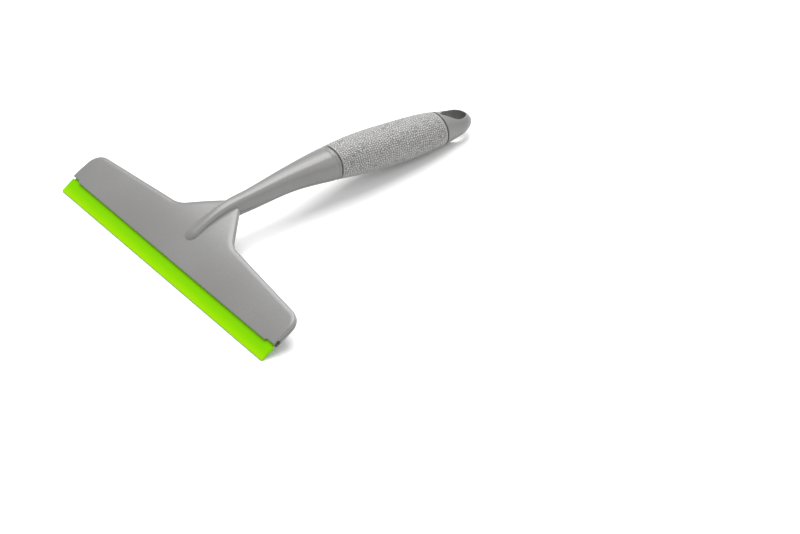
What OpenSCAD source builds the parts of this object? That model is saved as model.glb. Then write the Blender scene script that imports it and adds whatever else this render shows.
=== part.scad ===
// Window cleaning squeegee: a wide two-shell plastic head with a bent arm and handle,
// a soft sleeve round the handle, a hanging eye at its end, and a rubber blade whose
// round bead is held in a channel along the lip of the head.
//
// X runs along the blade, Y from the blade edge to the end of the handle, Z is up.
// The squeegee lies as it rests on a table: the blade edge and the back of the handle
// both touch Z = 0, and the origin is under the middle of the whole squeegee.

/* [Overall] */
// Length from the blade edge to the end of the handle, as it rests
overall_l = 276; // [250:1:330]
// Width of the head and of the blade
head_w = 240; // [180:1:300]

/* [Blade] */
// Slope of the blade and of the lip of the head, degrees
blade_tilt = 30; // [26:0.5:34]
// Rubber that stands out in front of the lip
blade_reach = 11.6; // [9:0.1:16]
// Thickness of the rubber where it leaves the lip
blade_root_t = 2.0; // [1.6:0.1:2.4]
// Thickness of the rubber at its working edge
blade_tip_t = 1.2; // [0.8:0.1:1.6]
// Diameter of the bead along the back of the rubber
bead_d = 3.4; // [3:0.1:3.6]
// Distance from the front of the lip back to the middle of the bead
bead_depth = 4.0; // [3.4:0.1:5]
// Radial gap between the bead and its channel
bead_gap = 0.08; // [0.05:0.01:0.1]
// Angle that the rubber swings each way before it meets the lip, degrees
blade_swing = 8; // [5:1:10]

/* [Head] */
// Thickness of the head plate, both shells together
plate_t = 5.4; // [5:0.1:7]
// Radius of the curve that the top of the plate follows from lip to neck
plate_r = 165; // [140:1:220]
// Depth of the wings in plan, from the blade edge to their back edge at the ends
wing_depth = 33.4; // [30:0.2:44]
// Angle by which the back edge of each wing runs back towards the neck, degrees
wing_sweep = 5.5; // [2:0.5:10]
// Radius of the rounded outer corners
corner_r = 11; // [6:0.5:14]
// Radius of the hollow curve between wing and neck
neck_fillet = 18; // [8:0.5:22]
// Angle between the side of the neck and the handle's direction, degrees
neck_taper = 43; // [35:1:55]
// Width of the neck where it ends at the arm
neck_w = 13; // [12:0.5:20]
// How far the lip is set back at each end of the head
notch_depth = 1.4; // [0.6:0.1:2]
// Length of each set-back stretch
notch_l = 8; // [4:0.5:12]

/* [Arm and handle] */
// Distance from the blade edge to the tip of the ridge that becomes the arm
ridge_start = 24.5; // [20:0.5:30]
// Width of the arm at its narrowest
arm_w = 11; // [9:0.2:14]
// Height of the arm at its narrowest
arm_h = 13.8; // [11:0.2:17]
// Width of the handle at its fullest
grip_w = 31; // [26:0.5:35]
// Height of the handle at its fullest
grip_h = 29.4; // [26:0.2:32]
// Height of the middle of the arch above the table
arch_z = 29.4; // [24:0.2:36]
// Width of the rounded end round the hanging eye
end_w = 22; // [20:0.2:26]
// Wall of the hollow handle
wall = 2.2; // [1.6:0.1:3]

/* [Sleeve] */
// Distance from the blade edge to the front end of the sleeve
sleeve_start = 151; // [140:1:160]
// Distance from the end of the handle to the back end of the sleeve
sleeve_end = 30; // [28:0.5:45]
// Thickness of the sleeve
sleeve_t = 1.6; // [1.2:0.1:2.4]
// Width of the groove at each end of the sleeve
groove_w = 1.2; // [0.8:0.1:2]

/* [Hanging eye] */
// Width of the eye
eye_w = 14; // [8:0.2:15]
// Length of the eye from its point to its round end
eye_l = 23; // [16:0.5:24]
// Wall between the round end of the eye and the end of the handle
eye_wall = 4.2; // [3.5:0.1:6]

/* [Hidden] */
$fn = 96;

grey = "#9a9b98";
sleeve_grey = "#a3a4a1";
lime = "#9ae312";
over = 1;

// Where the blade and the lip are, as [y, z] points in the middle plane of the head
along = [cos(blade_tilt), sin(blade_tilt)];
across = [-sin(blade_tilt), cos(blade_tilt)];
tip_mid = [blade_tip_t / 2 * sin(blade_tilt), blade_tip_t / 2 * cos(blade_tilt)];
lip_mid = tip_mid + blade_reach * along;
bead_mid = lip_mid + bead_depth * along;
lip_top = lip_mid + plate_t / 2 * across;

// The plate is a piece of a tube whose axis runs along X under the head
plate_mid = lip_top - plate_r * across;
function plate_top_z(y) = plate_mid[1] + sqrt(pow(plate_r, 2) - pow(plate_mid[0] - y, 2));
function plate_part_z(y) = plate_mid[1]
    + sqrt(pow(plate_r - plate_t / 2, 2) - pow(plate_mid[0] - y, 2));

// Where the wings meet the neck and where the neck ends
neck_flare = 24.5;
wing_inner = neck_w / 2 + neck_flare;
fillet_y = wing_depth + (head_w / 2 - corner_r - wing_inner) * tan(wing_sweep);
neck_cut = 1.8;
neck_end = fillet_y + (wing_inner - neck_w / 2) / tan(neck_taper) - neck_cut;

// Middle height, half width, height and squareness of the handle at stations along it.
// The slope falls from the arch to the table and the end is rounded off by end_scale().
ridge_full = ridge_start + 6;
handle_back = overall_l - 19;
arm_front = neck_end - 2.7;
crown = arm_front + 50;
swell = arm_front + 82;
full = arm_front + (handle_back - arm_front) * 0.77;
rest_h = grip_h * 0.75;
STATIONS = [
    // y, middle z, half width, height, squareness
    [ridge_start - 3, plate_part_z(ridge_start), 4.7, 6.8, 2.2],
    [ridge_full, plate_part_z(ridge_full) + 1.9, arm_w * 0.46, 7.4, 2.3],
    [ridge_full + 20, plate_top_z(ridge_full + 20) - 1.8, arm_w * 0.47, arm_h * 0.86, 2.6],
    [arm_front, arch_z - 4, arm_w / 2, arm_h, 2.8],
    [arm_front + 17, arch_z - 3.5, arm_w * 0.53, arm_h * 1.07, 2.9],
    [crown, arch_z - 1.7, arm_w * 0.77, arm_h * 1.22, 2.7],
    [swell, arch_z - 3.5, grip_w * 0.40, grip_h * 0.785, 2.35],
    [swell + 31, arch_z - 7.25, grip_w * 0.49, grip_h * 0.98, 2.2],
    [full, (arch_z + grip_h / 2) / 2 - 4.85, grip_w / 2, grip_h, 2.15],
    [handle_back - 17, grip_h / 2 - 0.8, grip_w * 0.45, grip_h * 0.905, 2.1],
    [handle_back, rest_h / 2 + 0.25, end_w / 2, rest_h, 2.1],
    [overall_l, rest_h / 2 - 0.3, end_w * 0.44, rest_h * 0.6, 2.1]
];

// Smooth curve through the stations: column c of the table at distance y
function station_slope(i, c) = let(
        a = max(i - 1, 0), b = min(i + 1, len(STATIONS) - 1))
    (STATIONS[b][c] - STATIONS[a][c]) / (STATIONS[b][0] - STATIONS[a][0]);
function station_before(y, i = 0) =
    i >= len(STATIONS) - 2 || y < STATIONS[i + 1][0] ? i : station_before(y, i + 1);
function handle_value(y, c) = let(
        i = station_before(y),
        step = STATIONS[i + 1][0] - STATIONS[i][0],
        t = (y - STATIONS[i][0]) / step,
        m0 = station_slope(i, c) * step,
        m1 = station_slope(i + 1, c) * step)
    (2 * pow(t, 3) - 3 * pow(t, 2) + 1) * STATIONS[i][c] + (pow(t, 3) - 2 * pow(t, 2) + t) * m0
    + (3 * pow(t, 2) - 2 * pow(t, 3)) * STATIONS[i + 1][c] + (pow(t, 3) - pow(t, 2)) * m1;

// How far the handle's section has shrunk where it rounds off at either end
end_round = 13;
function end_scale(y) = let(
        front = max(0, (ridge_full - y) / (ridge_full - ridge_start)),
        back = max(0, (y - overall_l + end_round) / end_round))
    sqrt(max(0, 1 - pow(min(front, 1), 2))) * pow(max(0, 1 - pow(min(back, 1), 2.2)), 1 / 2.2);

// One closed ring of the handle at distance y, shrunk evenly by inset
RING_POINTS = 36;
function signed_pow(v, e) = sign(v) * pow(abs(v), e);
function handle_ring(y, inset) = let(
        scale_here = end_scale(y),
        half_w = max(0.02, handle_value(y, 2) * scale_here - inset),
        half_h = max(0.02, handle_value(y, 3) / 2 * scale_here - inset),
        e = 2 / handle_value(y, 4))
    [for (k = [0 : RING_POINTS - 1]) let(a = 360 * k / RING_POINTS)
        [half_w * signed_pow(cos(a), e), y, handle_value(y, 1) + half_h * signed_pow(sin(a), e)]];

// Solid skin over a list of rings, closed with a flat face at each end
module loft(rings) {
    m = RING_POINTS;
    last = (len(rings) - 1) * m;
    sides = [for (i = [0 : len(rings) - 2], j = [0 : m - 1]) let(n = (j + 1) % m)
        each [[i * m + j, (i + 1) * m + n, (i + 1) * m + j], [i * m + j, i * m + n, (i + 1) * m + n]]];
    ends = [[for (j = [m - 1 : -1 : 0]) j], [for (j = [0 : m - 1]) last + j]];
    polyhedron([for (r = rings) each r], concat(sides, ends), convexity = 6);
}

// Distances at which rings stand: closer together where the ends round off
sleeve_back = overall_l - sleeve_end;
FRONT_YS = [for (k = [0 : 5]) ridge_full - (ridge_full - ridge_start - 0.1) * cos(90 * k / 5)];
ARM_YS = [for (k = [1 : 9]) ridge_full + (sleeve_start - groove_w - ridge_full) * k / 9];
SLEEVE_YS = [for (k = [0 : 8]) sleeve_start + (sleeve_back - sleeve_start) * k / 8];
BACK_YS = [for (k = [0 : 2]) sleeve_back + groove_w
    + (overall_l - end_round - sleeve_back - groove_w) * k / 2];
END_YS = [for (k = [1 : 6]) overall_l - end_round + (end_round - 0.05) * sin(90 * k / 6)];

// The joined shells: full size in front of and behind the sleeve, cut down under it
module handle_core() {
    loft(concat(
        [for (y = FRONT_YS) handle_ring(y, 0)],
        [for (y = ARM_YS) handle_ring(y, 0)],
        [handle_ring(sleeve_start - groove_w, sleeve_t)],
        [for (y = SLEEVE_YS) handle_ring(y, sleeve_t)],
        [handle_ring(sleeve_back + groove_w, sleeve_t)],
        [for (y = BACK_YS) handle_ring(y, 0)],
        [for (y = END_YS) handle_ring(y, 0)]));
}

// The hollow inside the handle, from behind the neck to in front of the eye
module handle_hollow() {
    hollow_start = arm_front + 14;
    hollow_end = sleeve_back - 9;
    thin = wall + sleeve_t;
    loft(concat(
        [for (k = [0 : 6]) let(y = hollow_start + (sleeve_start - 4 - hollow_start) * k / 6)
            handle_ring(y, wall + (k == 6 ? sleeve_t : 0))],
        [for (k = [1 : 8]) handle_ring(
            sleeve_start - 4 + (hollow_end - sleeve_start + 4) * k / 8, thin)]));
}

// Plan outline of the head, right half then left half
function arc_pts(cx, cy, r, a0, a1, n) =
    [for (k = [0 : n]) let(a = a0 + (a1 - a0) * k / n) [cx + r * cos(a), cy + r * sin(a)]];
corner_cx = head_w / 2 - corner_r;
corner_cy = wing_depth - corner_r;
bend = 90 - neck_taper - wing_sweep;
fillet_run = neck_fillet * tan(bend / 2);
fillet_start = [wing_inner + fillet_run * cos(wing_sweep), fillet_y - fillet_run * sin(wing_sweep)];
fillet_c = fillet_start + neck_fillet * [sin(wing_sweep), cos(wing_sweep)];
HEAD_RIGHT = concat(
    [[head_w / 2, -20]],
    arc_pts(corner_cx, corner_cy, corner_r, 0, 90 - wing_sweep, 14),
    arc_pts(fillet_c[0], fillet_c[1], neck_fillet, -90 - wing_sweep, -180 + neck_taper, 10),
    [[neck_w / 2, neck_end]]);
HEAD_OUTLINE = concat(HEAD_RIGHT,
    [for (k = [len(HEAD_RIGHT) - 1 : -1 : 0]) [-HEAD_RIGHT[k][0], HEAD_RIGHT[k][1]]]);

// A bar along X over the whole head whose section is drawn in [y, z]
module bar_along_x(length) {
    rotate([90, 0, 90]) translate([0, 0, -length / 2]) linear_extrude(length) children();
}

// A box whose front face is the lip plane, moved back along the blade by set_back
module behind_lip(length, set_back = 0) {
    bar_along_x(length) translate(lip_mid + set_back * along) rotate(blade_tilt)
        translate([0, -60]) square([160, 120]);
}

module plate_tube(r) {
    translate([-head_w / 2 - over, plate_mid[0], plate_mid[1]]) rotate([0, 90, 0])
        cylinder(r = r, h = head_w + 2 * over, $fn = 360);
}

module head_plate() {
    intersection() {
        difference() {
            plate_tube(plate_r);
            plate_tube(plate_r - plate_t);
        }
        translate([0, 0, -over]) linear_extrude(60) polygon(HEAD_OUTLINE);
        union() {
            behind_lip(head_w - 2 * notch_l);
            behind_lip(head_w + 2 * over, notch_depth);
        }
    }
}

// Channel for the bead, and the flared mouth in which the rubber swings
mouth_root = blade_root_t / 2 + 0.15;
mouth_front = blade_root_t / 2 + (bead_depth + over) * tan(blade_swing) + 0.1;
module blade_channel() {
    translate([-head_w / 2 - over, bead_mid[0], bead_mid[1]]) rotate([0, 90, 0])
        cylinder(d = bead_d + 2 * bead_gap, h = head_w + 2 * over, $fn = 48);
    bar_along_x(head_w + 2 * over) translate(bead_mid) rotate(blade_tilt + 180) polygon([
        [0, -mouth_root], [bead_depth + over, -mouth_front],
        [bead_depth + over, mouth_front], [0, mouth_root]]);
}

// Height of the joint between the shells: halfway through the plate, then low on the handle
part_front = arm_front - 16;
part_back = arm_front + 22;
function handle_part_z(y) = handle_value(y, 1) - handle_value(y, 3) * 0.24;
function part_z(y) = let(
        t = min(max((y - part_front) / (part_back - part_front), 0), 1),
        blend = t * t * (3 - 2 * t))
    y <= part_front ? plate_part_z(y)
    : y >= part_back ? handle_part_z(y)
    : (1 - blend) * plate_part_z(y) + blend * handle_part_z(y);
module below_joint() {
    y_first = lip_mid[0] - 4;
    count = 70;
    bar_along_x(head_w + 2 * over) polygon(concat(
        [[y_first, -30]],
        [for (k = [0 : count]) let(y = y_first + (overall_l + 2 - y_first) * k / count)
            [y, part_z(min(y, overall_l))]],
        [[overall_l + 2, -30]]));
}

// Egg-shaped outline of the hanging eye, pointed towards the sleeve
eye_back = overall_l - eye_wall;
eye_mid = eye_back - eye_l * 0.45;
module hanging_eye() {
    front_l = eye_mid - (eye_back - eye_l);
    right = concat(
        [for (k = [0 : 10]) let(a = 90 - 90 * k / 10)
            [eye_w / 2 * cos(a), eye_mid + eye_l * 0.45 * sin(a)]],
        [for (k = [1 : 9]) let(u = k / 10) [eye_w / 2 * (1 - pow(u, 1.7)), eye_mid - front_l * u]]);
    outline = concat(right, [[0, eye_back - eye_l]],
        [for (k = [len(right) - 1 : -1 : 1]) [-right[k][0], right[k][1]]]);
    translate([0, 0, -5]) linear_extrude(60) polygon(outline);
}

module body() {
    difference() {
        union() {
            head_plate();
            difference() {
                handle_core();
                handle_hollow();
            }
        }
        blade_channel();
        hanging_eye();
    }
}

// Moves a node so that the origin is under the middle of the squeegee
module centred() {
    translate([0, -overall_l / 2, 0]) children();
}

module top_shell() {
    color(grey) centred() difference() {
        body();
        below_joint();
    }
}

module bottom_shell() {
    color(grey) centred() intersection() {
        body();
        below_joint();
    }
}

module grip_sleeve() {
    color(sleeve_grey) centred() difference() {
        loft([for (y = SLEEVE_YS) handle_ring(y, 0)]);
        handle_core();
    }
}

module blade() {
    strip_l = blade_reach + bead_depth;
    color(lime) centred() {
        bar_along_x(head_w) translate(bead_mid) rotate(blade_tilt + 180) polygon([
            [0, -blade_root_t / 2], [bead_depth, -blade_root_t / 2], [strip_l, -blade_tip_t / 2],
            [strip_l, blade_tip_t / 2], [bead_depth, blade_root_t / 2], [0, blade_root_t / 2]]);
        translate([-head_w / 2, bead_mid[0], bead_mid[1]]) rotate([0, 90, 0])
            cylinder(d = bead_d, h = head_w, $fn = 48);
    }
}

top_shell();
bottom_shell();
grip_sleeve();
blade();
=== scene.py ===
"""Window cleaning squeegee: the detailed pieces, their finishes, and the studio round them.

Lengths in the classes are millimetres, with y counted from the blade's edge towards the end
of the handle. Every point goes to metres in the frame's own axes as it enters a mesh.
"""
import logging
import math
from dataclasses import dataclass, field
from enum import Enum
from typing import Callable

import bmesh
import bpy
import numpy as np
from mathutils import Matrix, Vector


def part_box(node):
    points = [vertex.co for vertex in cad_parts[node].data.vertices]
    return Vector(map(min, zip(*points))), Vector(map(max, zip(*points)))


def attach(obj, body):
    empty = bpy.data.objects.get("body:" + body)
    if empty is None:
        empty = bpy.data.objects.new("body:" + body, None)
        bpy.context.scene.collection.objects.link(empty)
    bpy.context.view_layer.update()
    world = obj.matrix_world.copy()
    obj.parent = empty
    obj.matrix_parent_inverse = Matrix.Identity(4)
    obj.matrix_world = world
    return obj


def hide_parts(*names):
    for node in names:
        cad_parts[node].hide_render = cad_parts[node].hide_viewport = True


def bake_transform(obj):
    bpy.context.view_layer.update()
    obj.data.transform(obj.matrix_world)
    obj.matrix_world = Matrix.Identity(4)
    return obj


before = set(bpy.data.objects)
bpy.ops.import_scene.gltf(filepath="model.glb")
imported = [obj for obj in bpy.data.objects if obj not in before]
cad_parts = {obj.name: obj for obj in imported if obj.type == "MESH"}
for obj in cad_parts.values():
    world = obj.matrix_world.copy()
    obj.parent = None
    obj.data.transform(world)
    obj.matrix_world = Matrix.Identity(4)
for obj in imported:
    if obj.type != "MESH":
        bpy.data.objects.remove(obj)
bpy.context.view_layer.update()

LOG = logging.getLogger("squeegee")
MM = 0.001
NEARLY_ONE = 0.9995
SEAM_GAP = 0.07
Array = np.ndarray


# ---------------------------------------------------------------- small mesh and maths tools

def smooth_step(low: float, high: float, value: Array) -> Array:
    """Rise from 0 to 1 between two values, level at both.

    Args:
        low: value where the rise starts.
        high: value where it ends.
        value: where to read it.

    Returns:
        3t^2 - 2t^3, with t the clipped share of the way from low to high.
    """
    t = np.clip((value - low) / (high - low), 0.0, 1.0)
    return t * t * (3.0 - 2.0 * t)


def signed_power(value: Array, exponent: Array) -> Array:
    """Raise the size of a value to a power and keep its sign."""
    return np.sign(value) * np.abs(value) ** exponent


def grid_faces(rows: int, columns: int, wrap_columns: bool, wrap_rows: bool) -> Array:
    """Corner numbers of the quads between neighbouring rows and columns of points.

    Args:
        rows: number of rows.
        columns: number of points in a row.
        wrap_columns: whether the last column joins the first.
        wrap_rows: whether the last row joins the first.

    Returns:
        An (n, 4) array of point numbers.
    """
    across = columns if wrap_columns else columns - 1
    down = rows if wrap_rows else rows - 1
    row, column = np.meshgrid(np.arange(down), np.arange(across), indexing="ij")
    after, below = (column + 1) % columns, (row + 1) % rows
    corners = [row * columns + column, row * columns + after,
               below * columns + after, below * columns + column]
    return np.stack(corners, -1).reshape(-1, 4)


@dataclass
class Skin:
    """Points and quads that become one mesh, gathered from several surfaces."""

    points: list[Array] = field(default_factory=list)
    faces: list[Array] = field(default_factory=list)
    count: int = 0

    def add_grid(self, grid: Array, wrap_columns: bool = False, wrap_rows: bool = False) -> None:
        """Add a grid of points as quads.

        Args:
            grid: (rows, columns, 3) points in millimetres.
            wrap_columns: whether each row is a closed ring.
            wrap_rows: whether the last row joins the first.
        """
        rows, columns = grid.shape[:2]
        self.faces.append(grid_faces(rows, columns, wrap_columns, wrap_rows) + self.count)
        self.points.append(grid.reshape(-1, 3))
        self.count += rows * columns

    def build(self, name: str, half_length: float, weld: float = 0.0008) -> bpy.types.Object:
        """Make the object, weld its seams and turn its faces outwards.

        Args:
            name: the piece's name.
            half_length: distance from the blade's edge to the frame's origin.
            weld: distance in millimetres under which points are joined.

        Returns:
            The new object, at the origin.
        """
        points = np.concatenate(self.points) - np.array([0.0, half_length, 0.0])
        mesh = bpy.data.meshes.new(name)
        mesh.from_pydata((points * MM).tolist(), [], np.concatenate(self.faces).tolist())
        piece = bpy.data.objects.new(name, mesh)
        bpy.context.scene.collection.objects.link(piece)
        work = bmesh.new()
        work.from_mesh(mesh)
        bmesh.ops.remove_doubles(work, verts=work.verts, dist=weld * MM)
        bmesh.ops.dissolve_degenerate(work, edges=work.edges, dist=weld * MM * 0.5)
        bmesh.ops.recalc_face_normals(work, faces=work.faces)
        work.to_mesh(mesh)
        work.free()
        mesh.polygons.foreach_set("use_smooth", np.ones(len(mesh.polygons), dtype=bool))
        mesh.update()
        return piece


def keep_on_points(piece: bpy.types.Object, name: str, values: Array) -> None:
    """Store one number on each point, for the finish to read."""
    mark = piece.data.attributes.new(name, "FLOAT", "POINT")
    mark.data.foreach_set("value", values.astype(np.float32))


def note(piece: bpy.types.Object) -> bpy.types.Object:
    """Log a piece's size and hand it back."""
    LOG.info("%s: %d faces", piece.name, len(piece.data.polygons))
    return piece


# ---------------------------------------------------------------- sizes shared by the pieces

@dataclass(frozen=True)
class Sizes:
    """Sizes of the squeegee, the same ones that the frame is built from."""

    overall_l: float
    head_w: float
    blade_tilt: float = math.radians(30.0)
    blade_reach: float = 11.6
    blade_root_t: float = 2.0
    blade_tip_t: float = 1.2
    bead_d: float = 3.4
    bead_depth: float = 4.0
    blade_swing: float = math.radians(8.0)
    plate_t: float = 5.4
    plate_r: float = 165.0
    wing_depth: float = 33.4
    wing_sweep: float = math.radians(5.5)
    corner_r: float = 11.0
    neck_fillet: float = 18.0
    neck_taper: float = math.radians(43.0)
    neck_w: float = 13.0
    neck_flare: float = 24.5
    neck_cut: float = 1.8
    notch_depth: float = 1.4
    notch_l: float = 8.0
    ridge_start: float = 24.5
    ridge_rise: float = 6.0
    arm_lead: float = 2.7
    arm_w: float = 11.0
    arm_h: float = 13.8
    grip_w: float = 31.0
    grip_h: float = 29.4
    arch_z: float = 29.4
    end_w: float = 22.0
    end_l: float = 19.0
    end_round: float = 13.0
    sleeve_start: float = 151.0
    sleeve_end: float = 30.0
    sleeve_t: float = 1.6
    groove_w: float = 1.2
    eye_w: float = 14.0
    eye_l: float = 23.0
    eye_wall: float = 4.2

    @classmethod
    def from_frame(cls) -> "Sizes":
        """Read the overall length and width from the frame's blade."""
        low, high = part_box("blade")
        return cls(overall_l=-2.0 * low[1] / MM, head_w=(high[0] - low[0]) / MM)

    @property
    def along(self) -> Array:
        """Direction up the blade from its edge, as (y, z)."""
        return np.array([math.cos(self.blade_tilt), math.sin(self.blade_tilt)])

    @property
    def across(self) -> Array:
        """Direction out of the top of the blade, as (y, z)."""
        return np.array([-math.sin(self.blade_tilt), math.cos(self.blade_tilt)])

    @property
    def lip_mid(self) -> Array:
        """Middle of the lip's front, as (y, z)."""
        half_tip = self.blade_tip_t / 2
        edge = np.array([half_tip * math.sin(self.blade_tilt), half_tip * math.cos(self.blade_tilt)])
        return edge + self.blade_reach * self.along

    @property
    def wing_inner(self) -> float:
        """Half width at which a wing meets the neck."""
        return self.neck_w / 2 + self.neck_flare

    @property
    def fillet_y(self) -> float:
        """Where the straight edges of wing and neck would meet."""
        run = self.head_w / 2 - self.corner_r - self.wing_inner
        return self.wing_depth + run * math.tan(self.wing_sweep)

    @property
    def neck_end(self) -> float:
        """Where the neck ends at the arm."""
        return self.fillet_y + self.neck_flare / math.tan(self.neck_taper) - self.neck_cut

    @property
    def arm_front(self) -> float:
        """Where the arm takes its own shape."""
        return self.neck_end - self.arm_lead

    @property
    def sleeve_back(self) -> float:
        """Where the sleeve ends."""
        return self.overall_l - self.sleeve_end


@dataclass
class PlateMap:
    """The curved plate of the head, laid out flat.

    A flat place is (x, run, rise): run is the arc length back from the lip along the middle
    of the plate, and rise is the height above the middle. The plate is a piece of a tube
    whose axis runs along X, so a place turns about that axis by run over the middle radius.
    """

    sizes: Sizes

    def __post_init__(self) -> None:
        """Find the tube's axis and its middle radius."""
        size = self.sizes
        self.middle_r = size.plate_r - size.plate_t / 2
        top = size.lip_mid + size.plate_t / 2 * size.across
        self.axis = top - size.plate_r * size.across

    def place(self, x: Array, run: Array, rise: Array) -> Array:
        """Bend flat places into space.

        Args:
            x: place along the blade.
            run: arc length back from the lip.
            rise: height above the plate's middle.

        Returns:
            Points (x, y, z).
        """
        x, run, rise = np.broadcast_arrays(x, run, rise)
        angle = self.sizes.blade_tilt - run / self.middle_r
        radius = self.middle_r + rise
        return np.stack([x, self.axis[0] - radius * np.sin(angle),
                         self.axis[1] + radius * np.cos(angle)], -1)

    def run_of(self, y: Array) -> Array:
        """Arc length at which the top of the plate passes over y."""
        angle = np.arcsin((self.axis[0] - np.asarray(y, float)) / self.sizes.plate_r)
        return (self.sizes.blade_tilt - angle) * self.middle_r

    def height(self, y: Array, rise: float) -> Array:
        """Height of the surface that lies rise above the plate's middle, at y."""
        offset = np.clip(self.axis[0] - np.asarray(y, float), -self.middle_r + 9, None)
        return self.axis[1] + np.sqrt((self.middle_r + rise) ** 2 - offset ** 2)


@dataclass
class HandleCurve:
    """Sections of the ridge, arm and handle: rounded squares whose size follows y."""

    sizes: Sizes
    plate: PlateMap

    def __post_init__(self) -> None:
        """Lay out the stations: y, middle height, half width, height, squareness."""
        size = self.sizes
        full_ridge = size.ridge_start + size.ridge_rise
        back = size.overall_l - size.end_l
        front = size.arm_front
        swell = front + 82
        full = front + (back - front) * 0.77
        rest_h = size.grip_h * 0.75
        half = size.plate_t / 2
        arch, arm_h, arm_w = size.arch_z, size.arm_h, size.arm_w
        self.ridge_full = full_ridge
        self.stations = np.array([
            [size.ridge_start - 3, float(self.plate.height(size.ridge_start, 0.0)), 4.7, 6.8, 2.2],
            [full_ridge, float(self.plate.height(full_ridge, 0.0)) + 1.9, arm_w * 0.46, 7.4, 2.3],
            [full_ridge + 20, float(self.plate.height(full_ridge + 20, half)) - 1.8,
             arm_w * 0.47, arm_h * 0.86, 2.6],
            [front, arch - 4.0, arm_w / 2, arm_h, 2.8],
            [front + 17, arch - 3.5, arm_w * 0.53, arm_h * 1.07, 2.9],
            [front + 50, arch - 1.7, arm_w * 0.77, arm_h * 1.22, 2.7],
            [swell, arch - 3.5, size.grip_w * 0.40, size.grip_h * 0.785, 2.35],
            [swell + 31, arch - 7.25, size.grip_w * 0.49, size.grip_h * 0.98, 2.2],
            [full, (arch + size.grip_h / 2) / 2 - 4.85, size.grip_w / 2, size.grip_h, 2.15],
            [back - 17, size.grip_h / 2 - 0.8, size.grip_w * 0.45, size.grip_h * 0.905, 2.1],
            [back, rest_h / 2 + 0.25, size.end_w / 2, rest_h, 2.1],
            [size.overall_l, rest_h / 2 - 0.3, size.end_w * 0.44, rest_h * 0.6, 2.1]])

    def value(self, y: Array, column: int) -> Array:
        """Read one column of the stations along a smooth curve.

        Args:
            y: where to read it.
            column: which value.

        Returns:
            The cubic through the two stations round y, whose slope at each station is that
            of the line between its neighbours.
        """
        y = np.asarray(y, float)
        knots, values = self.stations[:, 0], self.stations[:, column]
        last = len(knots) - 1
        before = np.maximum(np.arange(last + 1) - 1, 0)
        after = np.minimum(np.arange(last + 1) + 1, last)
        slopes = (values[after] - values[before]) / (knots[after] - knots[before])
        i = np.clip(np.searchsorted(knots, y, side="right") - 1, 0, last - 1)
        step = knots[i + 1] - knots[i]
        t = (y - knots[i]) / step
        return ((2 * t ** 3 - 3 * t ** 2 + 1) * values[i] + (t ** 3 - 2 * t ** 2 + t) * slopes[i] * step
                + (3 * t ** 2 - 2 * t ** 3) * values[i + 1] + (t ** 3 - t ** 2) * slopes[i + 1] * step)

    def end_scale(self, y: Array) -> Array:
        """Share of its full size that a section keeps where the two ends round off."""
        size = self.sizes
        front = np.clip((self.ridge_full - y) / (self.ridge_full - size.ridge_start), 0, 1)
        back = np.clip((y - size.overall_l + size.end_round) / size.end_round, 0, 1)
        return np.sqrt(1 - front ** 2) * np.maximum(1 - back ** 2.2, 0) ** (1 / 2.2)

    def half_sizes(self, y: Array, inset: Array) -> tuple[Array, Array]:
        """Half width and half height of the section at y, drawn in by inset."""
        scale = self.end_scale(y)
        half_w = np.maximum(self.value(y, 2) * scale - inset, 0.01)
        half_h = np.maximum(self.value(y, 3) / 2 * scale - inset, 0.01)
        return half_w, half_h

    def point(self, y: Array, angle: Array, inset: Array) -> tuple[Array, Array]:
        """Place on the section's edge at an angle from the right-hand side.

        Args:
            y: place along the handle.
            angle: angle round the section, radians.
            inset: distance by which the section is drawn in.

        Returns:
            x and z: cosine and sine raised to two over the squareness, times the half sizes.
        """
        half_w, half_h = self.half_sizes(y, inset)
        power = 2.0 / self.value(y, 4)
        return (half_w * signed_power(np.cos(angle), power),
                self.value(y, 1) + half_h * signed_power(np.sin(angle), power))

    def joint_z(self, y: Array) -> Array:
        """Height of the joint between the shells: mid plate, then low on the handle."""
        size = self.sizes
        low = self.value(y, 1) - self.value(y, 3) * 0.24
        return low + (1 - smooth_step(size.arm_front - 16, size.arm_front + 22, y)) * (
            self.plate.height(np.minimum(y, size.neck_end + 40), 0.0) - low)

    def angle_at(self, y: Array, z: Array, inset: Array) -> Array:
        """Angle on the section at which it passes height z on the right."""
        share = (z - self.value(y, 1)) / self.half_sizes(y, inset)[1]
        share = np.clip(share, -NEARLY_ONE, NEARLY_ONE)
        return np.arcsin(signed_power(share, self.value(y, 4) / 2))

    def joint_round(self, z: Array, y: Array, radius: float) -> Array:
        """Inset that rounds a shell's edge at the joint."""
        return quarter_drop(np.abs(z - self.joint_z(y)) - SEAM_GAP, radius, radius)


# ---------------------------------------------------------------- finishes

def operator(name: str, swapped: bool = False) -> Callable:
    """An operator of Socket that joins its two sides through a maths node."""
    def join(self: "Socket", other: "Socket | float") -> "Socket":
        """Join the two sides."""
        sides = (other, self) if swapped else (self, other)
        return self.sheet.node("ShaderNodeMath", {"operation": name}, dict(enumerate(sides)))
    return join


@dataclass
class Socket:
    """A shader value that reads like a number: sums, products and powers make maths nodes."""

    sheet: "Sheet"
    link: bpy.types.NodeSocket

    __add__, __radd__ = operator("ADD"), operator("ADD", swapped=True)
    __sub__, __rsub__ = operator("SUBTRACT"), operator("SUBTRACT", swapped=True)
    __mul__, __rmul__ = operator("MULTIPLY"), operator("MULTIPLY", swapped=True)
    __truediv__, __rtruediv__ = operator("DIVIDE"), operator("DIVIDE", swapped=True)
    __pow__, __rpow__ = operator("POWER"), operator("POWER", swapped=True)

    def rise(self, low: float, high: float) -> "Socket":
        """Go from 0 at low to 1 at high, level at both."""
        return self.sheet.node("ShaderNodeMapRange", {"interpolation_type": "SMOOTHSTEP"},
                               {"Value": self, "From Min": low, "From Max": high})


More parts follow.
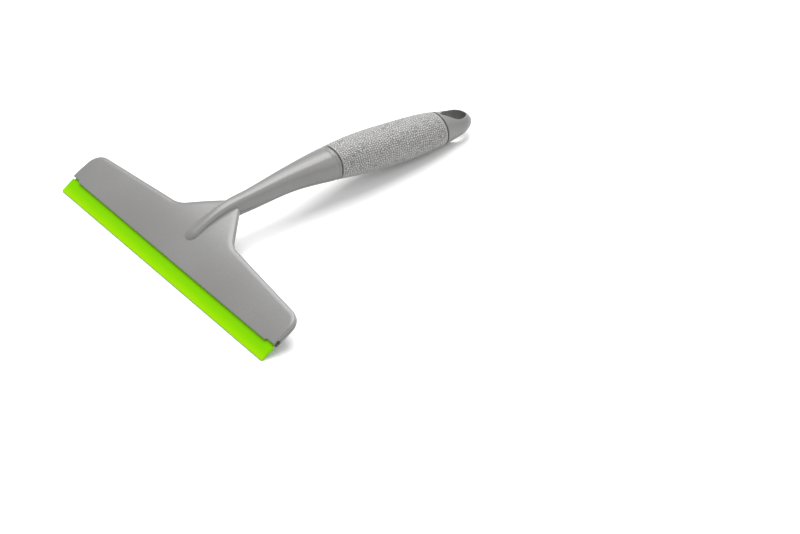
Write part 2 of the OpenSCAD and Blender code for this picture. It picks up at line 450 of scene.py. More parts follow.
class Sheet:
    """The node tree of one finish."""

    def __init__(self, name: str) -> None:
        """Start an empty tree."""
        self.material = bpy.data.materials.new(name)
        self.material.use_nodes = True
        self.tree = self.material.node_tree
        self.tree.nodes.clear()

    def node(self, kind: str, settings: dict | None = None, inputs: dict | None = None,
             output: int | str = 0) -> Socket:
        """Add a node.

        Args:
            kind: the node's type name.
            settings: values set on the node itself.
            inputs: values or links, by the input's name or number.
            output: which output to return.

        Returns:
            The chosen output.
        """
        made = self.tree.nodes.new(kind)
        for key, value in (settings or {}).items():
            setattr(made, key, value)
        for key, value in (inputs or {}).items():
            if isinstance(value, Socket):
                self.tree.links.new(value.link, made.inputs[key])
            else:
                made.inputs[key].default_value = value
        return Socket(self, made.outputs[output])

    def place(self) -> Socket:
        """The place on the piece, in metres."""
        return self.node("ShaderNodeTexCoord", output="Object")

    def mark(self, name: str) -> Socket:
        """A number kept on the points."""
        return self.node("ShaderNodeAttribute", {"attribute_name": name}, output="Fac")

    def blend(self, low: "Socket | tuple", high: "Socket | tuple", share: "Socket | float") -> Socket:
        """Mix two colours."""
        return self.node("ShaderNodeMix", {"data_type": "RGBA"}, {0: share, 6: low, 7: high}, 2)

    def noise(self, place: Socket, scale: float, detail: float = 2.0) -> Socket:
        """Cloudy noise between 0 and 1, with scale in features a metre."""
        return self.node("ShaderNodeTexNoise", {}, {"Vector": place, "Scale": scale, "Detail": detail})

    def bump(self, height: Socket, distance: float) -> Socket:
        """Tilt the surface by a height."""
        return self.node("ShaderNodeBump", {}, {"Height": height, "Distance": distance,
                                                "Strength": 1.0})

    def stretch(self, place: Socket, scale: tuple[float, float, float]) -> Socket:
        """Scale a place by a different amount along each axis."""
        return self.node("ShaderNodeMapping", {}, {"Vector": place, "Scale": scale})

    def finish(self, inputs: dict) -> bpy.types.Material:
        """End the tree in a surface with these inputs."""
        surface = self.node("ShaderNodeBsdfPrincipled", {}, inputs)
        end = self.tree.nodes.new("ShaderNodeOutputMaterial")
        self.tree.links.new(surface.link, end.inputs["Surface"])
        return self.material


def grey(value: float, warmth: float = 0.0) -> tuple[float, float, float, float]:
    """A linear grey, with a little less blue for warmth."""
    return value, value * (1 - warmth * 0.35), value * (1 - warmth), 1.0


@dataclass(frozen=True)
class SatinPlastic:
    """Moulded plastic: an even grey with a fine grain, faint flow clouds and light handling marks."""

    name: str = "satin grey plastic"
    tone: float = 0.19
    roughness: float = 0.27
    grain: float = 2600.0
    grain_height: float = 0.000012

    def build(self) -> bpy.types.Material:
        """Make the material."""
        sheet = Sheet(self.name)
        place = sheet.place()
        cloud = sheet.noise(place, 14.0, 3.0)
        flow = sheet.noise(sheet.stretch(place, (1.0, 0.25, 1.0)), 60.0, 4.0)
        fine = sheet.noise(place, self.grain, 2.0)
        specks = sheet.noise(place, 900.0, 1.0).rise(0.68, 0.76)
        tint = sheet.blend(grey(self.tone * 0.95, 0.03), grey(self.tone * 1.05, 0.02),
                           cloud.rise(0.3, 0.7) * 0.7 + flow * 0.3)
        tint = sheet.blend(tint, grey(self.tone * 1.18, 0.01), specks * 0.06)
        marks = sheet.noise(sheet.stretch(place, (1.0, 0.12, 1.0)), 420.0, 2.0).rise(0.62, 0.72)
        rough = self.roughness + (cloud - 0.5) * 0.10 + (fine - 0.5) * 0.10 + marks * 0.012
        waves = sheet.noise(place, 22.0, 1.0)
        normal = sheet.bump(fine + marks * 0.03 + waves * 3.0, self.grain_height)
        return sheet.finish({"Base Color": tint, "Roughness": rough, "Normal": normal,
                             "IOR": 1.49, "Coat Weight": 0.08, "Coat Roughness": 0.15})


@dataclass(frozen=True)
class SoftSleeve:
    """Soft moulded sleeve: matt, a little lighter, with painted shade in the creases between its pebbles
    and a painted highlight on their tops.
    """

    name: str = "soft grey sleeve"
    tone: float = 0.27
    roughness: float = 0.36

    def build(self) -> bpy.types.Material:
        """Make the material."""
        sheet = Sheet(self.name)
        place = sheet.place()
        high = sheet.mark("pebble")
        cloud = sheet.noise(place, 18.0, 3.0)
        fine = sheet.noise(place, 3200.0, 2.0)
        base = sheet.blend(grey(self.tone * 0.94, 0.03), grey(self.tone * 1.04, 0.02), cloud)
        # Painted shade: the creases between the pebbles are darkened to 0.38 of the tone.
        base = sheet.blend(grey(self.tone * 0.38, 0.05), base, high.rise(0.0, 0.6))
        # Painted highlight: the tops of the pebbles are lightened to 1.6 of the tone.
        tint = sheet.blend(base, grey(self.tone * 1.6, 0.02), high.rise(0.55, 1.0) * 0.8)
        rough = self.roughness + (fine - 0.5) * 0.10 - high * 0.08 + cloud * 0.05
        return sheet.finish({"Base Color": tint, "Roughness": rough, "IOR": 1.48,
                             "Normal": sheet.bump(fine, 0.000014)})


@dataclass(frozen=True)
class LimeRubber:
    """Clear-toned lime rubber: yellower and paler where it thins towards the working edge."""

    name: str = "lime rubber"
    deep: tuple[float, float, float, float] = (0.165, 0.50, 0.0, 1.0)
    pale: tuple[float, float, float, float] = (0.27, 0.58, 0.0, 1.0)

    def build(self) -> bpy.types.Material:
        """Make the material."""
        sheet = Sheet(self.name)
        place = sheet.place()
        thin = sheet.mark("thin")
        cloud = sheet.noise(place, 35.0, 3.0)
        drag = sheet.noise(sheet.stretch(place, (0.04, 1.0, 1.0)), 2200.0, 2.0)
        dust = sheet.noise(place, 1500.0, 1.0).rise(0.70, 0.78)
        base = sheet.blend(self.deep, self.pale, thin.rise(0.35, 1.0) * 0.8 + cloud * 0.2)
        tint = sheet.blend(base, (0.31, 0.60, 0.01, 1.0), dust * 0.12)
        rough = 0.46 + (cloud - 0.5) * 0.12 + (drag - 0.5) * 0.10 + dust * 0.12
        normal = sheet.bump(drag * 0.8 + cloud * 2.0, 0.000015)
        return sheet.finish({"Base Color": tint, "Roughness": rough, "Normal": normal, "IOR": 1.5,
                             "Specular IOR Level": 0.03})


@dataclass(frozen=True)
class StudioSweep:
    """The white glossy sheet that everything stands on."""

    name: str = "white studio sheet"

    def build(self) -> bpy.types.Material:
        """Make the material."""
        sheet = Sheet(self.name)
        place = sheet.place()
        cloud = sheet.noise(place, 3.0, 2.0)
        tint = sheet.blend(grey(0.90), grey(0.94), cloud)
        rough = 0.26 + cloud * 0.08
        return sheet.finish({"Base Color": tint, "Roughness": rough,
                             "Specular IOR Level": 0.35})


class Finish(Enum):
    """The finishes in use."""

    PLASTIC = SatinPlastic()
    LOWER_PLASTIC = SatinPlastic(name="satin grey plastic below", tone=0.18, roughness=0.40)
    SLEEVE = SoftSleeve()
    RUBBER = LimeRubber()
    SHEET = StudioSweep()

    def put_on(self, piece: bpy.types.Object) -> None:
        """Give the piece this finish, made once."""
        made = bpy.data.materials.get(self.value.name) or self.value.build()
        piece.data.materials.clear()
        piece.data.materials.append(made)


# ---------------------------------------------------------------- the head's two plates

def distance_to_line(x: Array, y: Array, line: Array) -> Array:
    """Distance from places in a plane to a line of straight pieces.

    Args:
        x: first coordinate of the places.
        y: second coordinate.
        line: (n, 2) corners of the line, in order.

    Returns:
        The least distance to any of its pieces, in the shape of x.
    """
    place = np.stack([x.ravel(), y.ravel()], -1)[:, None, :]
    start, step = line[:-1][None], np.diff(line, axis=0)[None]
    length = np.maximum((step ** 2).sum(-1), 1e-12)
    nearest = []
    for part in np.array_split(place, max(1, place.shape[0] // 4000)):
        share = np.clip(((part - start) * step).sum(-1) / length, 0, 1)
        gap = part - (start + share[..., None] * step)
        nearest.append(np.sqrt((gap ** 2).sum(-1).min(1)))
    return np.concatenate(nearest).reshape(x.shape)


def rim(grid: Array) -> Array:
    """The points round the outside of a grid, in order."""
    return np.concatenate([grid[0, :-1], grid[:-1, -1], grid[-1, :0:-1], grid[:0:-1, 0]])


def quarter_drop(distance: Array, width: Array, depth: Array) -> Array:
    """Depth below a flat top at a distance from its rounded edge.

    Args:
        distance: distance in from the edge.
        width: width over which the edge rounds.
        depth: how far it falls.

    Returns:
        The drop of a quarter of an ellipse of that width and depth.
    """
    share = 1 - np.clip(distance / width, 0, 1)
    return depth * (1 - np.sqrt(1 - share ** 2))


def arc(middle: Array, radius: float, low: float, high: float, count: int) -> Array:
    """Points on a circle in a plane, from one angle to another."""
    turn = np.linspace(low, high, count)
    return np.asarray(middle) + radius * np.stack([np.cos(turn), np.sin(turn)], -1)


@dataclass
class HeadOutline:
    """The head's outline on its flat plan, as (x, run) points from the right end to the left."""

    sizes: Sizes
    plate: PlateMap
    neck_corner_r: float = 2.5
    corner_points: int = 44
    notch_ease: float = 0.9

    def back_edge(self) -> Array:
        """Round corner, wing, hollow curve and neck of one side, then the other side's."""
        size = self.sizes
        sweep, taper = size.wing_sweep, size.neck_taper
        half, r = size.head_w / 2, size.corner_r
        corner = arc([half - r, size.wing_depth - r], r, 0, math.pi / 2 - sweep, self.corner_points)
        run = size.neck_fillet * math.tan((math.pi / 2 - taper - sweep) / 2)
        start = np.array([size.wing_inner, size.fillet_y]) + run * np.array(
            [math.cos(sweep), -math.sin(sweep)])
        middle = start + size.neck_fillet * np.array([math.sin(sweep), math.cos(sweep)])
        hollow = arc(middle, size.neck_fillet, -math.pi / 2 - sweep, -math.pi + taper, 16)
        wing = corner[-1] + np.linspace(0, 1, 76)[1:-1, None] * (hollow[0] - corner[-1])
        neck_r = self.neck_corner_r
        lean = math.pi / 2 - taper
        cut = neck_r * math.tan(lean / 2)
        side = np.array([math.sin(taper), -math.cos(taper)])
        side_end = np.array([size.neck_w / 2, size.neck_end]) + cut * side
        neck = hollow[-1] + np.linspace(0, 1, 30)[1:, None] * (side_end - hollow[-1])
        round_mid = [size.neck_w / 2 - cut, size.neck_end - neck_r]
        knuckle = arc(round_mid, neck_r, math.pi / 2 - lean, math.pi / 2, 8)[1:]
        flat = knuckle[-1] * np.linspace(1, 0, 9)[1:, None] * [1, 0] + [0, size.neck_end]
        right = np.concatenate([corner, wing, hollow, neck, knuckle, flat])
        edge = np.concatenate([right, right[-2::-1] * [-1, 1]])
        return np.stack([edge[:, 0], self.plate.run_of(edge[:, 1])], -1)

    def edges(self) -> tuple[Array, Array]:
        """Front and back edges with matching points."""
        size = self.sizes
        back = self.back_edge()
        half = size.head_w / 2
        count = self.corner_points
        share = np.linspace(0, 1, count)
        x = back[:, 0].copy()
        x[:count] = half - share * (half - x[count - 1])
        x[-count:] = -x[:count][::-1]
        step = smooth_step(half - size.notch_l - self.notch_ease,
                           half - size.notch_l + self.notch_ease, np.abs(x))
        return np.stack([x, size.notch_depth * step], -1), back


@dataclass
class HeadPlate:
    """One of the two plates of the head, as a closed skin in the flat plan, bent on entry.

    A roll is the width and the fall of the rounded rim, each as its value at the lip and what
    it gains towards the back.
    """

    sizes: Sizes
    plate: PlateMap
    upper: bool
    seam_gap: float = 0.11
    seam_depth: float = 1.0
    cover: float = 0.02
    least_wall: float = 0.15
    bead_play: float = 0.08
    mouth_play: float = 0.25
    upper_roll: tuple = ((0.8, 3.0), (0.5, 0.75))
    lower_roll: tuple = ((0.9, 1.2), (0.5, 0.8))

    def channel(self, run: Array) -> Array:
        """Half height of the bead's channel and of its mouth at a run from the lip."""
        size = self.sizes
        radius = size.bead_d / 2 + self.bead_play
        tube = np.sqrt(np.maximum(radius ** 2 - (run - size.bead_depth) ** 2, 0))
        mouth = (size.blade_root_t / 2 + self.mouth_play
                 + (size.bead_depth - run) * math.tan(size.blade_swing))
        return np.maximum(tube, np.where(run < size.bead_depth, mouth, 0))

    def add_to(self, skin: Skin) -> None:
        """Add the plate's outer face, joint face and rim to a skin."""
        size = self.sizes
        front, back = HeadOutline(size, self.plate).edges()
        way = back - front
        depth = np.linalg.norm(way, axis=1)
        way /= depth[:, None]
        near = np.array([0, .02, .08, .18, .32, .5, .72, 1, 1.5, 2.1, 2.4, 2.7, 3.1, 3.6, 4.1, 4.6,
                         5.1, 5.5, 5.8, 6.2, 7])
        far = 3.9 * (1 - np.cos(np.linspace(math.pi / 2, 0, 16)))
        between = np.linspace(0, 1, 22)[1:-1]
        along = np.concatenate([
            np.broadcast_to(near[:, None], (len(near), len(depth))),
            near[-1] + between[:, None] * (depth - near[-1] - far[0])[None],
            depth[None] - far[:, None]])
        place = front[None] + along[..., None] * way[None]
        x, run = place[..., 0], place[..., 1]
        line = np.concatenate([front, back[::-1], front[:1]])
        edge = distance_to_line(x, run, line)
        back_share = smooth_step(5, 16, run) * (1 - 0.45 * smooth_step(108, 119, np.abs(x)))
        half = size.plate_t / 2
        inner = np.maximum(self.channel(run), self.cover) + self.seam_gap * (edge < self.seam_depth)
        (width, more_width), (fall, more_fall) = self.upper_roll if self.upper else self.lower_roll
        outer = half - quarter_drop(edge, width + more_width * back_share,
                                    fall + more_fall * back_share)
        side = 1.0 if self.upper else -1.0
        outer = np.maximum(outer, inner + self.least_wall)
        outer_face = self.plate.place(x, run, side * outer)
        inner_face = self.plate.place(x, run, side * inner)
        skin.add_grid(outer_face)
        skin.add_grid(inner_face)
        levels = np.linspace(0, 1, 4)[:, None, None]
        skin.add_grid(rim(outer_face)[None] * (1 - levels) + rim(inner_face)[None] * levels, True)


# ---------------------------------------------------------------- arm, and the end with its eye

@dataclass
class ArmShell:
    """Upper or lower part of the ridge and arm, up to where it passes under the sleeve."""

    sizes: Sizes
    plate: PlateMap
    curve: HandleCurve
    upper: bool
    seam_r: float = 0.4
    fillet_r: float = 1.7

    def rows(self) -> tuple[Array, Array]:
        """Places along the arm, with how far each is drawn in: a lip, a groove, then the core."""
        size = self.sizes
        full = self.curve.ridge_full
        tip = full - (full - size.ridge_start) * np.cos(np.linspace(0.02, math.pi / 2, 22))
        lip = size.sleeve_start - size.groove_w
        arm = np.linspace(full, lip - 4.8, 100)[1:]
        edge = np.array([[-3.9, 0.04], [-3.4, 0.14], [-2.9, 0.3], [-2.5, 0.36], [-2.1, 0.32],
                         [-1.8, 0.18], [-1.5, 0.05], [-1.1, 0.0], [-0.7, 0.02], [-0.3, 0.14], [-0.08, 0.32],
                         [0.0, 0.55], [0.0, size.sleeve_t + 0.1],
                         [0.5, size.sleeve_t + 0.15], [3.2, size.sleeve_t + 0.15]])
        y = np.concatenate([tip, arm, lip + edge[:, 0]])
        return y, np.concatenate([np.zeros(len(tip) + len(arm)), edge[:, 1]])

    def seam_inset(self, y: Array, angle: Array, inset: Array) -> Array:
        """Extra inset that rounds the edge at the joint."""
        return self.curve.joint_round(self.curve.point(y, angle, inset)[1], y, self.seam_r)

    def add_to(self, skin: Skin) -> None:
        """Add the part to a skin."""
        y, inset = (value[:, None] for value in self.rows())
        half = self.upper_half(y, inset) if self.upper else self.lower_half(y, inset)
        ring = np.concatenate([half, half[:, ::-1] * [-1, 1, 1]], axis=1)
        last = np.broadcast_to(ring[-1].mean(0), ring[-1:].shape)
        skin.add_grid(np.concatenate([ring, last]), wrap_columns=True)

    def upper_half(self, y: Array, inset: Array) -> Array:
        """Right half from the joint over the foot's hollow curve to the top.

        Args:
            y: column of places along the arm.
            inset: column of insets.

        Returns:
            Points in rows; each row runs from the middle of the joint face, out to the edge
            of the joint, up the side, out to the foot on the plate, up the quarter circle of
            the hollow curve, and over to the top.
        """
        size, curve = self.sizes, self.curve
        joint = curve.joint_z(y) + SEAM_GAP
        plate_z = self.plate.height(y, size.plate_t / 2)
        leave = smooth_step(size.neck_end, size.neck_end + 16, y)
        foot_z = plate_z * (1 - leave) + (joint + 0.9) * leave
        top_z = curve.value(y, 1) + curve.half_sizes(y, inset)[1] * 0.995
        foot_z = np.minimum(foot_z, top_z)
        radius = (self.fillet_r * smooth_step(size.ridge_start + 2, size.ridge_start + 18, y)
                  * (1 - smooth_step(size.neck_end - 9, size.neck_end - 1, y)))
        low = curve.angle_at(y, joint, inset)
        under = curve.angle_at(y, np.maximum(foot_z - 0.35, joint), inset)
        high = curve.angle_at(y, foot_z + radius, inset)
        rise = np.linspace(0, 1, 9)[None] ** 1.5
        side_angle = low + (under - low) * rise
        side_inset = inset + self.seam_inset(y, side_angle, inset)
        side_x, side_z = curve.point(y, side_angle, side_inset)
        wall = curve.point(y, high, inset)[0]
        turn = np.linspace(0, math.pi / 2, 10)[None]
        foot_x = wall + radius * (1 - np.sin(turn))
        arc_z = foot_z + 0.015 + radius * (1 - np.cos(turn))
        over = high + (math.pi / 2 - high) * np.linspace(0, 1, 49)[None, 1:] ** 1.15
        over_inset = inset + self.seam_inset(y, over, inset)
        over_x, over_z = curve.point(y, over, over_inset)
        inner = np.linspace(0, 0.92, 4)[None]
        x = np.concatenate([side_x[:, :1] * inner, side_x, foot_x, over_x], 1)
        z = np.concatenate([side_z[:, :1] + 0 * inner, side_z, arc_z, over_z], 1)
        return np.stack([x, np.broadcast_to(y, x.shape), z], -1)

    def lower_half(self, y: Array, inset: Array) -> Array:
        """Right half from the middle of the joint face out to its edge and down to the bottom."""
        curve = self.curve
        low = curve.angle_at(y, curve.joint_z(y) - SEAM_GAP, inset)
        down = low + (-math.pi / 2 - low) * np.linspace(0, 1, 54)[None] ** 1.5
        down_x, down_z = curve.point(y, down, inset + self.seam_inset(y, down, inset))
        inner = np.linspace(0, 0.92, 4)[None]
        x = np.concatenate([down_x[:, :1] * inner, down_x], 1)
        z = np.concatenate([down_z[:, :1] + 0 * inner, down_z], 1)
        return np.stack([x, np.broadcast_to(y, x.shape), z], -1)


@dataclass
class EyeEnd:
    """Upper or lower part of the rounded end, with the egg-shaped hanging eye through it."""

    sizes: Sizes
    curve: HandleCurve
    upper: bool
    rim_width: float = 1.0
    rim_depth: float = 0.8
    seam_r: float = 0.4

    def __post_init__(self) -> None:
        """Find where the eye starts, is widest and ends."""
        size = self.sizes
        self.back = size.overall_l - size.eye_wall
        self.middle = self.back - size.eye_l * 0.45
        self.front = self.back - size.eye_l

    def half_width(self, y: Array) -> Array:
        """Half the eye's width at y: half an ellipse behind its middle, a soft point in front."""
        behind = np.clip((y - self.middle) / (self.back - self.middle), 0, 1)
        before = np.clip((self.middle - y) / (self.middle - self.front), 0, 1)
        return self.sizes.eye_w / 2 * np.where(y > self.middle, np.sqrt(1 - behind ** 2),
                                               1 - before ** 1.7)

    def rows(self) -> tuple[Array, Array]:
        """Places along the end with insets: core, groove, rounded edge, eye, rounded end."""
        size = self.sizes
        start = size.sleeve_back + size.groove_w
        core = size.sleeve_t + 0.15
        lead = np.array([[-4.0, core], [-0.6, core], [0.0, core - 0.05], [0.0, 0.45], [0.06, 0.2],
                         [0.2, 0.07], [0.45, 0.0], [0.8, 0.0], [1.1, 0.0], [1.35, 0.0]])
        turn = np.linspace(0, math.pi / 2, 30)
        eye = np.concatenate([self.front + (self.middle - self.front) * np.linspace(0, 1, 40) ** 1.2,
                              self.middle + (self.back - self.middle) * np.sin(turn)[1:]])
        bridge = self.back + np.array([0.04, 0.12, 0.24, 0.4, 0.6, 0.85, 1.15, 1.5])
        last = bridge[-1]
        tail = last + (size.overall_l - 0.05 - last) * np.sin(np.linspace(0, math.pi / 2, 26)[1:])
        y = np.concatenate([start + lead[:, 0], eye, bridge, tail])
        return y, np.concatenate([lead[:, 1], np.zeros(len(eye) + len(bridge) + len(tail))])

    def eye_line(self) -> Array:
        """Corners of the eye's outline in plan."""
        y = self.middle + np.concatenate([
            (self.front - self.middle) * np.linspace(1, 0, 60),
            (self.back - self.middle) * np.sin(np.linspace(0, math.pi / 2, 60))[1:]])
        half = self.half_width(y)
        right = np.stack([half, y], -1)
        return np.concatenate([right, right[::-1] * [-1, 1]])

    def add_to(self, skin: Skin) -> None:
        """Add the face with its rounded rim, the wall of the eye, and the joint face."""
        curve, side = self.curve, 1.0 if self.upper else -1.0
        y, inset = (value[:, None] for value in self.rows())
        half_w = curve.half_sizes(y, inset)[0]
        low = curve.angle_at(y, curve.joint_z(y) + side * SEAM_GAP, inset)
        eye = np.minimum(self.half_width(y), half_w * 0.98)
        high = side * np.arccos(np.clip(eye / half_w, 0, 1) ** (curve.value(y, 4) / 2))
        step = np.linspace(0, 1, 72)[None]
        step = 1 - (1 - step ** 1.35) ** 1.5
        angle = low + (high - low) * step
        edge = curve.joint_round(curve.point(y, angle, inset)[1], y, self.seam_r) * (1 - step) ** 2
        x, z = curve.point(y, angle, inset + edge)
        x = np.where(step == 1, eye, np.maximum(x, eye))
        spread_y = np.broadcast_to(y, x.shape)
        gap = distance_to_line(x, spread_y, self.eye_line())
        z = z - side * quarter_drop(gap, self.rim_width, self.rim_depth)
        bottom = curve.point(y, low, inset)[1]
        z = np.maximum(z, bottom) if self.upper else np.minimum(z, bottom)
        face = np.stack([x, spread_y, z], -1)
        closing_x = face[:, :1, 0] + (eye - face[:, :1, 0]) * np.linspace(0, 1, 6)[None]
        closing = np.stack([closing_x, np.broadcast_to(y, closing_x.shape),
                            face[:, :1, 2] + 0 * closing_x], -1)
        has_eye = (y[:, 0] >= self.front - 1e-6) & (y[:, 0] <= self.back + 1e-6)
        wall_top, wall_end = face[has_eye, -1], closing[has_eye, -1]
        levels = np.linspace(0, 1, 9)[:, None, None]
        wall = wall_top[None] * (1 - levels) + wall_end[None] * levels
        for mirror in ([1, 1, 1], [-1, 1, 1]):
            skin.add_grid(face * mirror)
            skin.add_grid(closing * mirror)
            skin.add_grid(wall * mirror)
            front = np.stack([face[0], np.broadcast_to(closing[0, -1:], face[0].shape)])
            skin.add_grid(front * mirror)


# ---------------------------------------------------------------- sleeve and blade

@dataclass
class GripSleeve:
    """Soft sleeve with a pebbled skin, a smooth border at each end and a thin mould line."""

    sizes: Sizes
    curve: HandleCurve
    pebble_pitch: float = 1.85
    pebble_height: float = 0.45
    border: float = 1.5
    rows: int = 300
    columns: int = 262
    seed: int = 7

    def pebbles(self, around: Array, along: Array, girth_cells: int) -> Array:
        """Pebbled relief between 0 and 1.

        Args:
            around: place round the sleeve, in cells.
            along: place along it, in cells.
            girth_cells: whole cells in one turn.

        Returns:
            A dome in each cell of a jittered pattern: the difference between the distances
            to the second and the first nearest seeds, rising smoothly from the creases.
        """
        draw = np.random.default_rng(self.seed)
        total = int(along.max()) + 4
        jitter = draw.uniform(0.12, 0.88, (girth_cells, total, 2))
        first = np.full(around.shape, 9.0)
        second = first.copy()
        cell_a, cell_b = np.floor(around).astype(int), np.floor(along).astype(int)
        for shift_a in (-1, 0, 1):
            for shift_b in (-1, 0, 1):
                a, b = cell_a + shift_a, cell_b + shift_b
                seed = jitter[a % girth_cells, np.clip(b, 0, total - 1)]
                gap = np.hypot(a + seed[..., 0] - around, b + seed[..., 1] - along)
                second = np.minimum(second, np.maximum(first, gap))
                first = np.minimum(first, gap)
        return smooth_step(0.0, 0.5, second - first)

    def build(self) -> bpy.types.Object:
        """Make the sleeve as a closed skin: outside, rounded ends and bore.

        Returns:
            The sleeve.
        """
        size = self.sizes
        length = size.sleeve_back - size.sleeve_start
        bore = size.sleeve_t + 0.06
        turn = np.linspace(0, math.pi / 2, 7)[:-1]
        end_y = np.concatenate([[0.0], 0.45 * (1 - np.cos(turn))])
        end_inset = np.concatenate([[bore], 0.45 * (1 - np.sin(turn))])
        body = np.linspace(0.47, length - 0.47, self.rows)
        y = size.sleeve_start + np.concatenate([end_y, body, length - end_y[::-1]])
        inset = np.concatenate([end_inset, np.zeros(self.rows), end_inset[::-1]])
        angle = np.linspace(0, 2 * math.pi, self.columns, endpoint=False)
        y, inset, angle = y[:, None], inset[:, None], angle[None]
        girth_cells = int(round(2 * math.pi * size.grip_w / 2 / self.pebble_pitch))
        around = np.broadcast_to(angle / (2 * math.pi) * girth_cells, (len(y), self.columns))
        along = np.broadcast_to((y - size.sleeve_start) / self.pebble_pitch + 1, around.shape)
        skin_z = -np.sin(angle)
        from_end = np.minimum(y - size.sleeve_start, size.sleeve_back - y)
        from_front = y - size.sleeve_start
        border = np.where(from_front < length / 2, 0.3, 1.0) * self.border
        share = smooth_step(border, border + 0.8, from_end) * (
            1 - 0.8 * smooth_step(0.80, 0.99, skin_z))
        relief = self.pebbles(around, along, girth_cells) * share + 0.6 * (1 - share)
        lip = 0.16 * np.exp(-((size.sleeve_back - y - 0.9) / 0.55) ** 2)
        mould = 0.05 * np.exp(-(np.cos(angle) * 13.0 / 0.22) ** 2) * (skin_z > 0)
        depth = np.maximum(self.pebble_height * (1 - relief) - lip - mould, 0.0)
        x, z = self.curve.point(y, angle, inset + depth)
        outer = np.stack([x, np.broadcast_to(y, x.shape), z], -1)
        bore_y = size.sleeve_start + np.linspace(length, 0, 24)[:, None]
        bore_x, bore_z = self.curve.point(bore_y, angle, bore + 0.1)
        inner = np.stack([bore_x, np.broadcast_to(bore_y, bore_x.shape), bore_z], -1)
        skin = Skin()
        skin.add_grid(np.concatenate([outer, inner]), wrap_columns=True, wrap_rows=True)
        piece = skin.build("grip_sleeve_skin", size.overall_l / 2)
        self.mark_relief(piece, relief)
        Finish.SLEEVE.put_on(piece)
        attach(piece, "handle")
        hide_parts("grip_sleeve")
        return note(piece)

    def mark_relief(self, piece: bpy.types.Object, relief: Array) -> None:
        """Keep the relief on the points, for the finish. Points not on the outside get 0.3."""
        count = len(piece.data.vertices)
        values = np.full(count, 0.3, dtype=np.float32)
        flat = relief.ravel()
        values[:min(count, flat.size)] = flat[:min(count, flat.size)]
        keep_on_points(piece, "pebble", values)


@dataclass
class Blade:
    """Rubber blade: a round bead, a strip that thins towards its edge, and cut ends."""

    sizes: Sizes
    bevel: float = 0.14
    bead_recess: float = 1.6
    inside_share: float = 0.97
    bend_lead: float = 0.2
    bend_l: float = 6.5
    stations: int = 241

    def profile(self) -> tuple[Array, Array]:
        """Closed section as (out, up), out measured from the bead towards the edge.

        Returns:
            The places out and up of the section's points, starting at the edge's top.
        """
        size = self.sizes
        length = size.blade_reach + size.bead_depth
        root, tip = size.blade_root_t / 2, size.blade_tip_t / 2
        radius = size.bead_d / 2
        leave = math.asin(root / radius)
        out = np.concatenate([
            length - self.bevel * (1 - np.sin(np.linspace(0, math.pi / 2, 6)))[::-1],
            np.linspace(length - 0.6, size.bead_depth + 0.3, 30),
            np.linspace(size.bead_depth, radius * math.cos(leave) + 0.2, 5)])
        half = np.interp(out, [size.bead_depth, length], [root, tip])
        ease = np.clip((out - (length - self.bevel)) / self.bevel, 0, 1)
        half = half - self.bevel * (1 - np.sqrt(1 - ease ** 2))
        turn = np.linspace(leave, 2 * math.pi - leave, 40)
        bead_out, bead_up = radius * np.cos(turn), radius * np.sin(turn)
        order = np.argsort(-out)
        out, half = out[order], half[order]
        return (np.concatenate([out, bead_out, out[::-1]]),
                np.concatenate([half, bead_up, -half[::-1]]))

    def build(self) -> bpy.types.Object:
        """Make the blade, with its bead cut back near both ends.

        Returns:
            The blade.
        """
        size = self.sizes
        out, up = self.profile()
        half = size.head_w / 2
        turn = np.linspace(0, math.pi / 2, 5)
        ends, drop = self.bevel * (1 - np.cos(turn)), self.bevel * (1 - np.sin(turn))
        x = np.concatenate([-half + ends[:-1], np.linspace(-half + self.bevel, half - self.bevel,
                                                           self.stations), half - ends[-2::-1]])
        draw = np.concatenate([drop[:-1], np.zeros(self.stations), drop[-2::-1]])
        up_here = np.sign(up)[None] * np.maximum(np.abs(up)[None] - draw[:, None], 0.0)
        short = smooth_step(half - self.bead_recess - 0.2, half - self.bead_recess, np.abs(x))
        inside = size.bead_depth * self.inside_share
        base = size.lip_mid + size.bead_depth * size.along
        out_here = np.minimum(out[None], out.max() - draw[:, None])
        held = short[:, None] * (out_here < inside)
        up_here = up_here * (1 - held)
        out_here = out_here + held * (inside - out_here)
        y = base[0] - out_here * size.along[0] + up_here * size.across[0]
        z = base[1] - out_here * size.along[1] + up_here * size.across[1]
        rings = np.stack([np.broadcast_to(x[:, None], y.shape), y, z], -1)
        flat_out = np.maximum(out, inside)
        flat = np.stack([np.full(out.shape, 1.0), base[0] - flat_out * size.along[0],
                         base[1] - flat_out * size.along[1]], -1)
        first, last = flat * [-half, 1, 1], flat * [half, 1, 1]
        skin = Skin()
        skin.add_grid(np.concatenate([first[None], rings, last[None]]), wrap_columns=True)
        piece = skin.build("blade_skin", size.overall_l / 2)
        self.mark_thin(piece)
        Finish.RUBBER.put_on(piece)
        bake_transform(piece)
        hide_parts("blade")
        return note(piece)

    def mark_thin(self, piece: bpy.types.Object) -> None:
        """Keep, on the points, the share of the way from the lip to the working edge."""
        size = self.sizes
        points = np.empty(len(piece.data.vertices) * 3)
        piece.data.vertices.foreach_get("co", points)
        points = points.reshape(-1, 3) / MM + [0, size.overall_l / 2, 0]
        back = (size.lip_mid[0] - points[:, 1]) * size.along[0] + (
            size.lip_mid[1] - points[:, 2]) * size.along[1]
        keep_on_points(piece, "thin", np.clip(back / size.blade_reach, 0, 1))


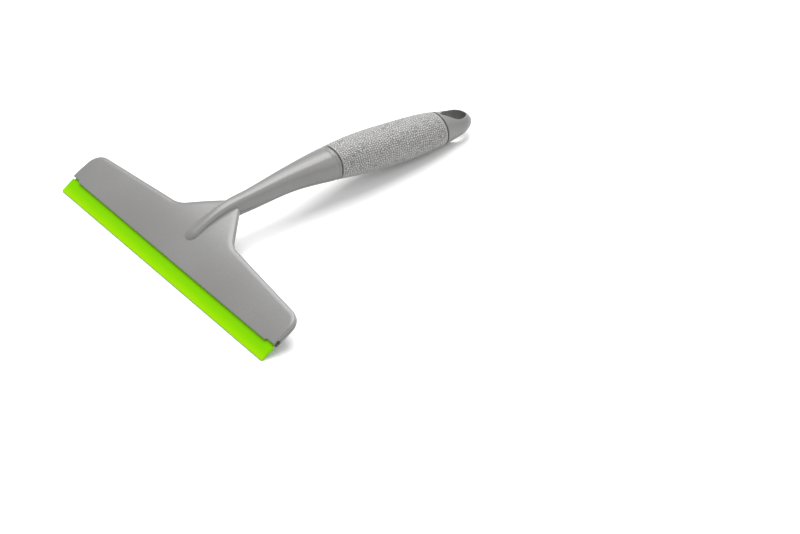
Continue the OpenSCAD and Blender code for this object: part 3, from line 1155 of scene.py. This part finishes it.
@dataclass
class Shell:
    """One of the two moulded shells: its plate, its part of the arm and its part of the end."""

    sizes: Sizes
    plate: PlateMap
    curve: HandleCurve
    upper: bool

    def build(self) -> bpy.types.Object:
        """Make the shell.

        Returns:
            The shell as one object.
        """
        node = "top_shell" if self.upper else "bottom_shell"
        skin = Skin()
        HeadPlate(self.sizes, self.plate, self.upper).add_to(skin)
        ArmShell(self.sizes, self.plate, self.curve, self.upper).add_to(skin)
        EyeEnd(self.sizes, self.curve, self.upper).add_to(skin)
        piece = skin.build(node + "_skin", self.sizes.overall_l / 2)
        (Finish.PLASTIC if self.upper else Finish.LOWER_PLASTIC).put_on(piece)
        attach(piece, "handle")
        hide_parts(node)
        return note(piece)


# ---------------------------------------------------------------- studio

@dataclass(frozen=True)
class SoftSun:
    """A wide soft light from far off: the way to it, how wide it looks, and its strength."""

    name: str
    way: tuple[float, float, float]
    width: float
    strength: float

    def build(self) -> bpy.types.Object:
        """Make the light."""
        data = bpy.data.lights.new(self.name, "SUN")
        data.energy, data.angle = self.strength, self.width
        lamp = bpy.data.objects.new(self.name, data)
        bpy.context.scene.collection.objects.link(lamp)
        lamp.rotation_mode = "QUATERNION"
        lamp.rotation_quaternion = (-Vector(self.way)).to_track_quat("-Z", "Y")
        return lamp


@dataclass(frozen=True)
class Viewpoint:
    """The camera: where it stands, which way it looks, and its lens."""

    place: tuple[float, float, float] = (1.1336, -0.8331, 1.0323)
    turn: float = math.radians(51.345)
    tilt: float = math.radians(37.904)
    lens: float = 110.7

    def build(self) -> bpy.types.Object:
        """Make the camera and hand it to the scene."""
        data = bpy.data.cameras.new("camera")
        data.lens, data.sensor_width, data.sensor_fit = self.lens, 36.0, "HORIZONTAL"
        data.clip_start, data.clip_end = 0.05, 50.0
        camera = bpy.data.objects.new("camera", data)
        bpy.context.scene.collection.objects.link(camera)
        camera.location = self.place
        flat = math.cos(self.tilt)
        way = Vector((-math.sin(self.turn) * flat, math.cos(self.turn) * flat, -math.sin(self.tilt)))
        camera.rotation_mode = "QUATERNION"
        camera.rotation_quaternion = way.to_track_quat("-Z", "Y")
        bpy.context.scene.camera = camera
        return camera


@dataclass(frozen=True)
class Studio:
    """White glossy sheet, even white surroundings and soft lights."""

    floor_side: float = 14.0
    sky: float = 0.68

    def build(self) -> None:
        """Make the sheet, the surroundings and the lights."""
        self.build_floor()
        world = bpy.data.worlds.new("white surroundings")
        world.use_nodes = True
        back = world.node_tree.nodes["Background"]
        back.inputs["Color"].default_value = (1.0, 1.0, 1.0, 1.0)
        back.inputs["Strength"].default_value = self.sky
        bpy.context.scene.world = world
        bpy.context.scene.view_settings.view_transform = "Standard"
        SoftSun("key light", (-0.33, 0.26, 0.906), math.radians(50.0), 3.2).build()
        SoftSun("fill light", (0.62, 0.3, 0.55), math.radians(60.0), 0.6).build()

    def build_floor(self) -> None:
        """Make the sheet as a gently crowned grid, flat under the squeegee."""
        side = np.linspace(-1, 1, 41) * self.floor_side / 2 / MM
        x, y = np.meshgrid(side, side)
        fall = np.maximum(np.hypot(x, y) - 2500.0, 0) ** 2 * 2e-6
        skin = Skin()
        skin.add_grid(np.stack([x, y, -fall], -1))
        floor = skin.build("studio_sheet", 0.0)
        if floor.data.polygons[0].normal.z < 0:
            floor.data.flip_normals()
        Finish.SHEET.put_on(floor)


def main() -> None:
    """Build the squeegee and its studio, and note its size."""
    logging.basicConfig(level=logging.INFO, format="%(name)s: %(message)s")
    sizes = Sizes.from_frame()
    plate = PlateMap(sizes)
    curve = HandleCurve(sizes, plate)
    Shell(sizes, plate, curve, upper=True).build()
    Shell(sizes, plate, curve, upper=False).build()
    GripSleeve(sizes, curve).build()
    Blade(sizes).build()
    Studio().build()
    Viewpoint().build()


if __name__ == "__main__":
    main()
